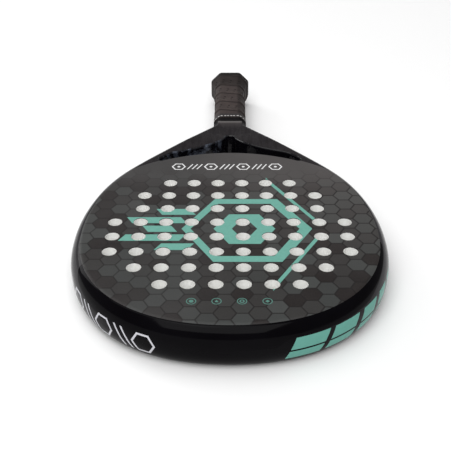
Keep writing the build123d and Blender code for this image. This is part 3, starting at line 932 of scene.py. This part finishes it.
def build_core():
    holes = [[(cx + HOLE_R * math.cos(t), cy + HOLE_R * math.sin(t)) for t in np.linspace(0, 2 * math.pi, 64, endpoint=False)] for cx, cy in HOLES]
    hc = np.array(HOLES)
    pts = grid_points(-118, 118, 12 + TIP, 250 + TIP, 8.0)
    ok = inside(pts, HEAD_RING)
    for cx, cy in hc:
        ok &= np.hypot(pts[:, 0] - cx, pts[:, 1] - cy) > HOLE_R + 0.8
    pts = clear_of(pts[ok], [HEAD_RING], 1.5)

    def keep(C):
        k = inside(C, HEAD_RING)
        for cx, cy in hc:
            k &= np.hypot(C[:, 0] - cx, C[:, 1] - cy) > HOLE_R * 0.99
        return k
    W, T = triangulate_region([HEAD_RING] + holes, (), pts, keep)
    n = len(W)
    z = np.full(n, 19.0 - SKIN - 0.02)
    V, faces, nt = slab(W, T, MID + z, MID - z)
    # hole walls take normals pointing to each hole's centre, so that their shading is even
    ob = new_object("foam_core", V, faces, (MAT_EVA,), None, smooth=True)

    def fn(co, vi, fnorm):
        N = fnorm.copy()
        side = np.abs(fnorm[:, 2]) < 0.5
        P = co[vi[side]][:, :2]
        d = P[:, None, :] - hc[None]
        r = np.hypot(d[..., 0], d[..., 1])
        k = r.argmin(1)
        near = r[np.arange(len(P)), k] < HOLE_R * 1.05
        v = -d[np.arange(len(P)), k]
        v /= np.linalg.norm(v, axis=1)[:, None]
        S = N[side]
        S[near] = np.c_[v[near], np.zeros(near.sum())]
        N[side] = S
        return N
    set_normals(ob, fn)
    return ob


shell = build_shell()
face_up = build_face()
face_low = flip_under(face_up, "face_laminate_lower")
core = build_core()


def finish_lacquer():
    """Lacquer of frame and throat: black above a stepped line round the rim, charcoal on the side wall and along the
    flanks, with the side decorations.  The UV map's U is the distance from the tip in mm/1000 + 0.5."""
    k = Nodes(MAT_LACQUER_SLOT)
    p = k.pos()
    px, py, pz = sep(k, p)
    z = k.math("SUBTRACT", pz, MID)
    uvn = k.n("ShaderNodeUVMap", uv_map="wrap")
    u_, v_, _ = sep(k, uvn.outputs[0])
    on_rim = k.math("GREATER_THAN", v_, -0.5)
    s = k.math("MULTIPLY", k.math("SUBTRACT", u_, 0.5), 1000.0)
    s_abs = k.math("ABSOLUTE", s)
    teal, white = srgb(106, 166, 153), srgb(200, 200, 206)
    # line between the black upper edge and the charcoal side
    line_at = [(-300, 19.5), (-158, 19.5), (-154, 15.5), (-145, 11.3), (-132, 9.0), (-119, 5.9), (-95, 2.9), (-84, 1.3), (-58, 0.9),
               (34, 1.5), (40, 6.4), (46, 8.3), (95, 8.6), (112, 9.1), (121, 9.8), (128, 11.5), (138, 13.3), (149, 14.7), (165, 16.3),
               (189, 17.6), (194, 19.5)]
    zc = k.ramp(k.math("DIVIDE", k.math("ADD", s, 300.0), 600.0), [((a + 300) / 600, (h + 20) / 40) for a, h in line_at])
    zc = k.math("SUBTRACT", k.math("MULTIPLY", zc, 40.0), 20.0)
    upper = k.maprange(k.math("SUBTRACT", z, zc), -0.15, 0.15, 0.0, 1.0)
    cloud = k.maprange(k.noise(p, 0.02, 3.0, 0.6), 0.3, 0.75, 0.0, 1.0)
    black = k.mix(cloud, srgb(4, 3, 5), srgb(8, 7, 10))
    grey = k.mix(cloud, srgb(44, 43, 45), srgb(54, 53, 55))
    side_amt = k.ramp(k.math("DIVIDE", s_abs, 400.0), [(0.0, 0.02), (50 / 400, 0.05), (95 / 400, 0.38), (140 / 400, 0.85), (180 / 400, 1.0),
                                                      (225 / 400, 1.0), (262 / 400, 0.05), (1.0, 0.0)])
    side_amt = k.math("MULTIPLY", side_amt, on_rim)
    left_amt = k.maprange(s, -150.0, -70.0, 1.0, 0.25)
    side_amt = k.math("MULTIPLY", side_amt, k.math("MAXIMUM", left_amt, k.math("GREATER_THAN", s, 0.0)))
    col = k.mix(k.math("MULTIPLY", side_amt, k.math("SUBTRACT", 1.0, upper)), black, grey)
    # right: slanted blocks, cut lengthwise by a thin gap
    lean = k.math("SUBTRACT", s, k.math("MULTIPLY", z, 0.42))

    def st(vals):
        return [(a / 400.0, c) for a, c in vals]
    blocks = k.ramp(k.math("DIVIDE", lean, 400.0), st([(0, 0), (44, 1), (72, 0), (78, 1), (102, 0), (108, 1), (128, 0), (134, 1), (150, 0), (156, 1),
                                                      (168, 0), (174, 1), (183, 0), (189, 1), (195, 0)]), "CONSTANT")
    inz = k.math("MULTIPLY", k.math("LESS_THAN", z, 7.6), k.math("GREATER_THAN", z, -11.6))
    cut = k.math("GREATER_THAN", k.math("ABSOLUTE", k.math("ADD", z, 3.4)), 0.8)
    tmask = k.math("MULTIPLY", k.math("MULTIPLY", blocks, cut), k.math("MULTIPLY", inz, on_rim))
    # left: thin hexagons with thin slashes between them
    sl = k.math("SUBTRACT", k.math("MULTIPLY", s, -1.0), 54.0)
    zz = k.math("ADD", z, 2.5)
    per = 38.0
    cell = k.math("MODULO", sl, per)
    hx = k.math("ABSOLUTE", k.math("SUBTRACT", cell, 11.0))
    hy = k.math("ABSOLUTE", zz)
    hd = k.math("MAXIMUM", hy, k.math("ADD", k.math("MULTIPLY", hx, 0.8660254), k.math("MULTIPLY", hy, 0.5)))
    line = k.math("LESS_THAN", k.math("ABSOLUTE", k.math("SUBTRACT", hd, 8.0)), 0.8)
    lean2 = k.math("SUBTRACT", cell, k.math("MULTIPLY", zz, 0.55))
    for c0 in (25.5, 32.0):
        bar_ = k.math("MULTIPLY", k.math("LESS_THAN", k.math("ABSOLUTE", k.math("SUBTRACT", lean2, c0)), 0.9),
                      k.math("LESS_THAN", hy, 8.6))
        line = k.math("MAXIMUM", line, bar_)
    wmask = k.math("MULTIPLY", line, k.math("MULTIPLY", k.math("GREATER_THAN", sl, 0.0), k.math("LESS_THAN", sl, per * 3.6)))
    wmask = k.math("MULTIPLY", wmask, on_rim)
    c = k.mix(tmask, col, k.mix(k.noise(p, 0.3, 3.0, 0.6), teal, srgb(98, 156, 144)))
    c = k.mix(wmask, c, white)
    ink_ = k.math("MAXIMUM", tmask, wmask)
    fine = k.noise(p, 0.06, 4.0, 0.6)
    rough = k.maprange(fine, 0.3, 0.7, 0.08, 0.14)
    rough = k.math("ADD", rough, k.math("MULTIPLY", ink_, 0.06))
    rough = k.fmix(k.maprange(py, 316.0 + TIP, 328.0 + TIP, 0.0, 1.0), rough, 0.55)
    nb = k.bump(k.noise(p, 0.035, 3.0, 0.5), 0.0006, 0.10)
    nb = k.bump(ink_, 0.00003, 0.5, nb)
    mat = k.set(base=c, rough=rough, spec=0.045, normal=nb)
    shell.data.set_sharp_from_angle(angle=math.radians(32))
    return mat


MAT_LACQUER = finish_lacquer()

# ---------------------------------------------------------------------------
# ride, replace
# ---------------------------------------------------------------------------
for ob, slot_name, nodes in ((shell, "gloss_black_frame", ("frame_tube", "throat_yoke")),
                             (face_up, "printed_laminate", ("face_skin_upper",)),
                             (face_low, "printed_laminate", ("face_skin_lower",)),
                             (core, "white_foam_core", ("head_core",))):
    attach(ob, "root")
    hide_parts(*nodes)

# ---------------------------------------------------------------------------
# handle: collar, end tape, wrap with overlapped turns, cap
# ---------------------------------------------------------------------------
def section(phi, w, h, bevel, sharp=26.0):
    """Radius of a softened octagon (width w, height h, corner cut bevel) in directions phi."""
    dirs = [(1, 0, w / 2), (0, 1, h / 2), (-1, 0, w / 2), (0, -1, h / 2)]
    d = (w / 2 + h / 2 - bevel) / math.sqrt(2)
    q = math.sqrt(0.5)
    dirs += [(q, q, d), (-q, q, d), (-q, -q, d), (q, -q, d)]
    c, s_ = np.cos(phi), np.sin(phi)
    f = np.zeros(np.broadcast(phi, w).shape)
    for nx, nz, dd in dirs:
        f = f + np.maximum(0, (nx * c + nz * s_) / dd) ** sharp
    return f ** (-1.0 / sharp)


def flare(v):
    s_ = smoothstep(428.0, 452.0, v)
    return 10.4 * s_, 6.1 * s_


def lathe_octagon(name, rows, nphi, mat, closed=True, uvs=False):
    """Closed skin through rows of (v, radii): radii is one number for each direction."""
    phi = np.linspace(0, 2 * math.pi, nphi, endpoint=False)
    V, F, UV = [], [], []
    for v, r in rows:
        vv = np.broadcast_to(v, phi.shape)
        for a, rr, y in zip(phi, r, vv):
            V.append((rr * math.cos(a), y + TIP, MID + rr * math.sin(a)))
            UV.append((a / (2 * math.pi), y / 1000.0))
    n = len(rows)
    for i in range(n if closed else n - 1):
        j = (i + 1) % n
        for k in range(nphi):
            l = (k + 1) % nphi
            F.append((i * nphi + k, i * nphi + l, j * nphi + l, j * nphi + k))
    ob = new_object(name, V, F, (mat,) if mat else (), None, smooth=True)
    if uvs:
        uv = ob.data.uv_layers.new(name="wrap")
        data = []
        for poly in ob.data.polygons:
            us = [UV[vi][0] for vi in poly.vertices]
            for vi in poly.vertices:
                u = UV[vi][0]
                if max(us) - min(us) > 0.5 and u < 0.5:
                    u += 1.0
                data += [u, UV[vi][1]]
        uv.data.foreach_set("uv", data)
    bm = bmesh.new()
    bm.from_mesh(ob.data)
    bmesh.ops.recalc_face_normals(bm, faces=bm.faces)
    bm.to_mesh(ob.data)
    bm.free()
    return ob


GRIP_W, GRIP_H, GRIP_B = 31.7, 31.2, 5.5
TURN = 21.0
SEAM0 = 362.8                       # a seam crosses the middle of the upper side here


def turn_place(phi, v):
    """0..1 across a turn of the wrap, and the turn's number; 0 is just past a lower turn's edge."""
    w = (v - SEAM0) / TURN - (phi / (2 * math.pi) - 0.25)
    n = np.floor(w)
    return w - n, n


def build_wrap():
    nphi = 240
    v0, v1 = 345.4, 446.9
    nv = 226
    phi = np.linspace(0, 2 * math.pi, nphi, endpoint=False)
    vs = np.linspace(v0, v1, nv)
    PH, VV = np.meshgrid(phi, vs)
    dw, dh = flare(VV)
    R = section(PH, GRIP_W + dw, GRIP_H + dh, GRIP_B + 0.44 * dw)
    t, n = turn_place(PH, VV)
    calm = 1 - 0.5 * dw / 10.4
    # each turn lies over the one nearer the neck: a raised first quarter whose edge drops within 0.6 mm
    te = 1 - t
    rise = smoothstep(0.66, 0.84, te) * (1 - smoothstep(0.972, 1.0, te))
    edge = -0.22 * np.exp(-((te - 0.008) / 0.016) ** 2) - 0.22 * np.exp(-((te - 1.008) / 0.016) ** 2)
    R = R + (0.72 * rise + edge * 1.7) * calm
    # pulled-in waist of each turn and slight unevenness
    R = R - 0.10 * np.sin(math.pi * np.clip(te / 0.66, 0, 1)) * calm
    R = R + 0.05 * np.sin(5 * PH + 1.7 * n) * np.sin(VV * 0.23)
    # perforations: two rows in each turn, 13 to a row
    step = 2 * math.pi / 13
    for row, (tp, shift) in enumerate(((0.30, 0.0), (0.53, 0.13))):
        hel = PH + n * 0.21 + shift * step
        ph_off = (hel / step) % 1.0 - 0.5
        dx = ph_off * step * 16.6
        dy = (t - tp) * TURN
        q = (dx ** 2 + dy ** 2) / 1.05 ** 2
        R = R - 0.5 * np.exp(-q ** 2) * (0.4 + 0.6 * calm)
    # under the end tape the wrap thins out
    R = R - 0.35 * (1 - smoothstep(345.4, 353.6, VV))
    Z = R * np.sin(PH)
    over = np.abs(Z) > 18.93
    R = np.where(over, R * 18.93 / np.maximum(np.abs(Z), 1e-6), R)
    rows = [(vs[i], R[i]) for i in range(nv)]
    # rounded ends and the inner face
    def inner(v, cut):
        a, b = flare(np.array(v))
        return section(phi, GRIP_W - cut + a, GRIP_H - cut + b, GRIP_B + 0.44 * a)
    rows_in = [(v1 + 0.08, R[-1] - 0.2), (v1 + 0.08, inner(v1, 1.75) + 0.1)]
    rows_in += [(v, inner(v, 1.85)) for v in np.linspace(v1, v0, 14)]
    rows_in += [(v0 - 0.15, inner(v0, 1.75)), (v0 - 0.15, R[0] - 0.15)]
    return lathe_octagon("grip_wrap", rows + rows_in, nphi, None, True, True)


def wrap_material():
    k = Nodes("perforated_wrap")
    p = k.pos()
    uvn = k.n("ShaderNodeUVMap", uv_map="wrap")
    u, v, _ = sep(k, uvn.outputs[0])
    v = k.math("MULTIPLY", v, 1000.0)
    w = k.math("SUBTRACT", k.math("DIVIDE", k.math("SUBTRACT", v, SEAM0), TURN), k.math("SUBTRACT", u, 0.25))
    n = k.math("FLOOR", w)
    t = k.math("SUBTRACT", w, n)
    dark = None
    for tp, shift in ((0.30, 0.0), (0.53, 0.13)):
        hel = k.math("ADD", k.math("MULTIPLY", u, 13.0), k.math("ADD", k.math("MULTIPLY", n, 0.21 * 13 / (2 * math.pi)), shift + 52.0))
        off = k.math("SUBTRACT", k.math("FRACT", hel), 0.5)
        dx = k.math("MULTIPLY", off, 16.6 * 2 * math.pi / 13)
        dy = k.math("MULTIPLY", k.math("SUBTRACT", t, tp), TURN)
        r2 = k.math("ADD", k.math("MULTIPLY", dx, dx), k.math("MULTIPLY", dy, dy))
        m = k.maprange(k.math("SQRT", r2), 0.85, 1.25, 1.0, 0.0)
        dark = m if dark is None else k.math("MAXIMUM", dark, m)
    te = k.math("SUBTRACT", 1.0, t)
    # painted shadow: dark band just below each turn's raised edge, and at the edge itself
    painted_seam_shadow = k.math("MAXIMUM", k.maprange(te, 0.03, 0.13, 1.0, 0.0), k.maprange(te, 0.985, 1.0, 0.0, 1.0))
    grime = k.noise(p, 0.09, 4.0, 0.6)
    base = k.mix(k.maprange(grime, 0.3, 0.72, 0.0, 1.0), srgb(55, 47, 46), srgb(64, 56, 54))
    # painted highlight: lighter band, broken up by noise, on each turn's raised edge
    painted_edge_highlight = k.math("MULTIPLY", k.maprange(te, 0.84, 0.97, 0.0, 1.0), k.maprange(k.noise(p, 0.5, 3.0, 0.6), 0.35, 0.65, 0.2, 1.0))
    base = k.mix(k.math("MULTIPLY", painted_edge_highlight, 0.30), base, srgb(82, 74, 71))
    base = k.mix(k.math("MULTIPLY", painted_seam_shadow, 0.80), base, srgb(16, 12, 12))
    # perforations painted near black: the dark cushion showing through, with painted shade in the holes
    base = k.mix(k.math("MULTIPLY", dark, 0.95), base, srgb(6, 5, 5))
    lo = k.maprange(w, 2.96, 3.04, 0.0, 1.0)
    base = k.mix(k.math("MULTIPLY", lo, 0.62), base, srgb(24, 20, 19))
    # painted shade: the grip's right upper bevel is darker along its whole length
    painted_right_bevel_shade = k.math("MULTIPLY", k.maprange(u, 0.03, 0.08, 0.0, 1.0), k.maprange(u, 0.165, 0.185, 1.0, 0.0))
    base = k.mix(k.math("MULTIPLY", painted_right_bevel_shade, 0.55), base, srgb(24, 20, 19))
    rough = k.maprange(k.noise(p, 0.7, 3.0, 0.6), 0.3, 0.7, 0.60, 0.74)
    grain = k.noise(p, 3.2, 3.0, 0.6)
    nb = k.bump(grain, 0.00006, 0.55)
    nb = k.bump(k.noise(p, 0.6, 3.0, 0.55), 0.00020, 0.35, nb)
    return k.set(base=base, rough=rough, spec=0.12, sheen=0.02, sheen_rough=0.5, normal=nb)


def tape_material():
    """Thin black tape with a row of light dashes."""
    k = Nodes("tape_dashes")
    p = k.pos()
    uvn = k.n("ShaderNodeUVMap", uv_map="wrap")
    u, v, _ = sep(k, uvn.outputs[0])
    v = k.math("MULTIPLY", v, 1000.0)
    cell = k.math("MULTIPLY", u, 34.0)
    idx = k.math("FLOOR", cell)
    off = k.math("ABSOLUTE", k.math("SUBTRACT", k.math("FRACT", k.math("ADD", cell, k.math("MULTIPLY", v, 0.03))), 0.5))
    long_ = k.math("ADD", 0.23, k.math("MULTIPLY", k.math("MODULO", idx, 2.0), 0.10))
    m = k.math("MULTIPLY", k.math("LESS_THAN", off, long_), k.math("LESS_THAN", k.math("ABSOLUTE", k.math("SUBTRACT", v, 347.6)), 0.75))
    base = k.mix(k.maprange(k.noise(p, 0.2, 3.0, 0.6), 0.3, 0.7, 0.0, 1.0), srgb(38, 35, 36), srgb(50, 46, 46))
    base = k.mix(m, base, k.mix(k.noise(p, 0.8, 2.0), srgb(176, 173, 171), srgb(206, 204, 202)))
    rough = k.maprange(k.noise(p, 0.9, 3.0, 0.6), 0.3, 0.7, 0.42, 0.55)
    return k.set(base=base, rough=rough, spec=0.15, normal=k.bump(k.noise(p, 1.6, 3.0, 0.6), 0.00005, 0.5))


def plain_material(name, a, b, rough=(0.5, 0.6), spec=0.4, scale=0.12, grain=2.4, depth=0.00004, metal=0.0, spots=None):
    """Moulded or cast material: two close tones, a fine grain and uneven gloss."""
    k = Nodes(name)
    p = k.pos()
    c = k.mix(k.maprange(k.noise(p, scale, 4.0, 0.6), 0.3, 0.7, 0.0, 1.0), a, b)
    if spots is not None:
        c = k.mix(k.maprange(k.noise(p, scale * 7, 4.0, 0.7), 0.56, 0.66, 0.0, 0.6), c, spots)
    r = k.maprange(k.noise(p, scale * 4, 3.0, 0.6), 0.3, 0.7, *rough)
    nb = k.bump(k.noise(p, grain, 3.0, 0.6), depth, 0.6)
    return k.set(base=c, rough=r, spec=spec, metal=metal, normal=nb)


def build_collar():
    """Rubber collar: a soft ring with two shallow grooves."""
    nphi = 160
    phi = np.linspace(0, 2 * math.pi, nphi, endpoint=False)
    rows = []
    prof = [(336.95, -0.9), (337.0, -0.45), (337.25, -0.12), (337.7, 0.0)]
    for v in np.linspace(338.2, 344.2, 22):
        g = -0.45 * (math.exp(-((v - 339.9) / 0.35) ** 2) + math.exp(-((v - 342.2) / 0.35) ** 2))
        prof.append((v, g))
    prof += [(344.6, -0.08), (344.88, -0.3), (344.98, -0.6)]
    for v, o in prof:
        rows.append((v, section(phi, 32.0 + 2 * o, 31.0 + 2 * o, 5.5)))
    rows += [(344.98, section(phi, 28.6, 27.2, 4.5)), (336.95, section(phi, 28.6, 27.2, 4.5))]
    return lathe_octagon("neck_collar", rows, nphi, MAT_COLLAR, True)


def build_tape():
    nphi = 200
    phi = np.linspace(0, 2 * math.pi, nphi, endpoint=False)
    rows = []
    for v, o in ((345.02, -0.30), (345.05, -0.08), (345.2, 0.0), (346.5, 0.02), (348.0, 0.0), (349.0, 0.0), (350.5, 0.02), (352.3, 0.0), (352.8, -0.02), (352.98, -0.10), (353.0, -0.30)):
        # the tape's free end, a small step along the underside
        lap = 0.10 * (np.abs(((phi - 4.25) % (2 * math.pi)) - math.pi) < 2.2)
        rows.append((v, section(phi, 33.5 + 2 * o - 0.2, 32.9 + 2 * o - 0.2, 5.95) + lap))
    rows += [(353.0, section(phi, 32.6, 32.0, 5.75)), (345.02, section(phi, 32.6, 32.0, 5.75))]
    return lathe_octagon("end_tape", rows, nphi, MAT_TAPE, True, True)


def build_cap():
    """Butt cap: octagonal rim with rounded edges, a stepped dish and the bore for the eyelet."""
    nphi = 176
    phi = np.linspace(0, 2 * math.pi, nphi, endpoint=False)
    W, H, B = 42.4, 37.4, 10.1
    rows = []

    def at(v, inset, sharp=40.0):
        short = 1 - smoothstep(428.0, 452.0, np.array(v))
        rows.append((v, section(phi, W - 10.4 * short - 2 * inset, H - 6.1 * short - 2 * inset, B - 4.6 * short - 0.6 * inset, sharp)))
    at(447.02, 5.4)
    at(447.02, 0.75)
    for t in np.linspace(0, math.pi / 2, 5)[1:]:
        at(447.02 + 0.75 * (1 - math.cos(t)), 0.75 - 0.75 * math.sin(t))
    for v in (448.6, 450.4, 452.2, 453.2):
        at(v, 0.0)
    for t in np.linspace(0, math.pi / 2, 9)[1:]:
        at(453.2 + 1.78 * math.sin(t), 1.78 * (1 - math.cos(t)))
    at(454.98, 3.4)
    for t in np.linspace(0, math.pi / 2, 4)[1:]:
        at(454.98 - 0.4 * (1 - math.cos(t)), 3.4 + 0.4 * math.sin(t))
    at(454.2, 3.85)
    at(454.0, 4.3)
    at(453.95, 7.5)
    r0 = section(phi, W - 15, H - 15, B - 4.5, 40.0)
    for f, v in ((0.9, 453.95), (0.7, 454.0), (0.55, 454.1)):
        rows.append((v, r0 * f + (1 - f) * 5.4))
    ring = np.ones(nphi)
    rows.append((454.15, ring * 5.6))
    rows.append((454.15, ring * 4.62))
    rows.append((449.0, ring * 4.62))
    rows.append((449.0, ring * 9.0))
    return lathe_octagon("butt_end_cap", rows, nphi, MAT_CAP, True)


MAT_COLLAR = plain_material("collar_rubber", srgb(7, 6, 7), srgb(12, 10, 11), (0.50, 0.62), 0.08, 0.15, 2.6, 0.00005)
MAT_TAPE = tape_material()
MAT_CAP = plain_material("cap_plastic", srgb(22, 19, 18), srgb(30, 26, 25), (0.46, 0.58), 0.12, 0.10, 2.2, 0.00004)

def build_cushion():
    """Cushion under the wrap."""
    nphi = 120
    phi = np.linspace(0, 2 * math.pi, nphi, endpoint=False)
    rows = []
    for v in np.linspace(345.5, 446.7, 52):
        a, b = flare(np.array(v))
        lay = 0.12 * math.cos(2 * math.pi * (v - SEAM0 - 6) / TURN)
        rows.append((v, section(phi, 29.75 + a, 29.2 + b, 5.2 + 0.44 * a) + lay - 0.12))
    rows += [(446.7, section(phi, 28.7, 27.3, 4.5)), (345.5, section(phi, 28.7, 27.3, 4.5))]
    return lathe_octagon("cushion_layer", rows, nphi, MAT_CUSHION, True)


MAT_CUSHION = plain_material("cushion_rubber", srgb(24, 22, 22), srgb(34, 31, 31), (0.70, 0.82), 0.25, 0.2, 1.4, 0.00012)
cushion = build_cushion()
wrap = build_wrap()
wrap.data.materials.append(wrap_material())
tape = build_tape()
collar = build_collar()
cap = build_cap()

for ob, slot_name, nodes in ((wrap, "perforated_overgrip", ("overgrip",)), (cushion, "cushion_grip", ("base_grip",)), (tape, "finishing_tape", ("finishing_tape",)),
                             (collar, "collar_rubber", ("grip_collar",)), (cap, "cap_plastic", ("butt_cap",))):
    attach(ob, "root")
    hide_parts(*nodes)


# carried-over nodes, mostly hidden: their own procedural finishes
def give(node, mat):
    ob = bpy.data.objects[node]
    ob.data.materials.clear()
    ob.data.materials.append(mat)


give("frame_foam", MAT_FILL)
give("yoke_foam", MAT_FILL)
give("handle_core", MAT_FILL)
_pallet = plain_material("moulded_pallet", srgb(52, 52, 55), srgb(66, 66, 68), (0.48, 0.60), 0.4, 0.08, 1.8, 0.00008, 0.0, srgb(80, 80, 82))
give("handle_shell_upper", _pallet)
give("handle_shell_lower", _pallet)
give("cord_eyelet", plain_material("eyelet_brass", srgb(150, 146, 140), srgb(172, 168, 160), (0.24, 0.36), 0.5, 0.3, 1.6, 0.00002, 1.0, srgb(120, 116, 110)))
give("cap_staples", plain_material("staple_steel", srgb(150, 152, 156), srgb(176, 178, 182), (0.26, 0.40), 0.5, 0.3, 2.0, 0.00002, 1.0, srgb(116, 112, 108)))


# ---------------------------------------------------------------------------
# floor, light, camera
# ---------------------------------------------------------------------------
def stage():
    k = Nodes("floor_white")
    p = k.pos()
    k.set(base=k.mix(k.noise(p, 0.004, 2.0), (0.90, 0.90, 0.90, 1), (0.92, 0.92, 0.92, 1)), rough=0.9, spec=0.1)
    n = 48
    V, F = [], []
    R = 3.0
    for i in range(n):
        t = 2 * math.pi * i / n
        V.append((R * 1000 * math.cos(t), R * 1000 * math.sin(t), 0.0))
    F.append(tuple(range(n)))
    floor = new_object("floor", V, F, (k.mat,), None, smooth=False)
    return floor


stage()


def area(name, loc, target, size, energy, size_y=None, color=(1, 1, 1)):
    ld = bpy.data.lights.new(name, "AREA")
    ld.energy = energy
    ld.color = color
    ld.size = size
    if size_y:
        ld.shape = "RECTANGLE"
        ld.size_y = size_y
    ob = bpy.data.objects.new(name, ld)
    bpy.context.collection.objects.link(ob)
    ob.location = loc
    ob.rotation_euler = (Vector(target) - Vector(loc)).to_track_quat("-Z", "Y").to_euler()
    return ob


area("key_front", (-0.30, -1.75, 2.40), (0, 0, 0), 2.8, 68)
area("top", (-0.4, 0.4, 2.5), (0, 0, 0), 2.4, 27)
area("back_left", (-1.7, 1.5, 1.2), (0, 0.1, 0), 1.2, 14)

world = bpy.data.worlds.new("studio")
bpy.context.scene.world = world
world.use_nodes = True
bg = world.node_tree.nodes["Background"]
bg.inputs[0].default_value = (1, 1, 1, 1)
bg.inputs[1].default_value = 0.30
bpy.context.scene.view_settings.view_transform = "Standard"

cam = bpy.data.cameras.new("camera")
cam.sensor_width = 36.0
cam.lens = 860.8 * 36 / 451
cam.shift_x = -4.4 / 451
cam.clip_start = 0.01
co = bpy.data.objects.new("camera", cam)
bpy.context.collection.objects.link(co)
co.location = (0, -0.68897, 0.42997)
co.rotation_euler = (math.radians(90 - 33.274), 0, 0)
bpy.context.scene.camera = co
